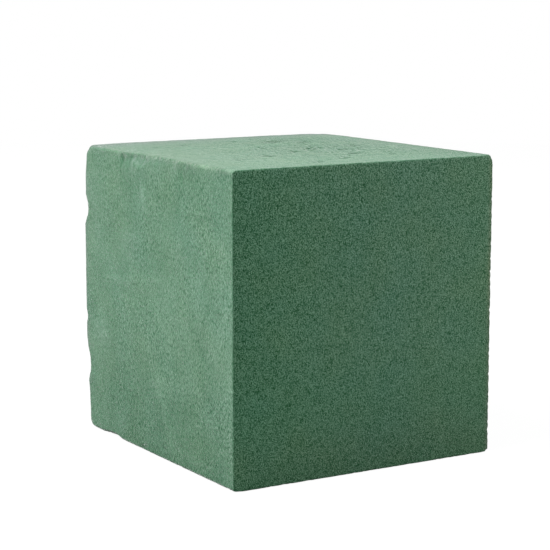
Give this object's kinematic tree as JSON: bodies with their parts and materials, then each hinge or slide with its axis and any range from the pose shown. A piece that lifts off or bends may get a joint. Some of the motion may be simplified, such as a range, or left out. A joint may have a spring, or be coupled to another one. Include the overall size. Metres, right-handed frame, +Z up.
{
  "type": "floral foam block",
  "caption": "Block of rigid green floral foam that stands on its base and holds cut stems pushed into its top and sides.",
  "frame": {"origin": "middle of the face that the block stands on", "axes": "+Z up, -Y out of the fresh sawn face, -X out of the skin face with the worn edge"},
  "size_m": [0.148, 0.158, 0.15],
  "materials": {
    "foam": "open-celled, matte and dusty"
  },
  "bodies": {
    "root": {"foam_block": "foam"}
  },
  "joints": []
}
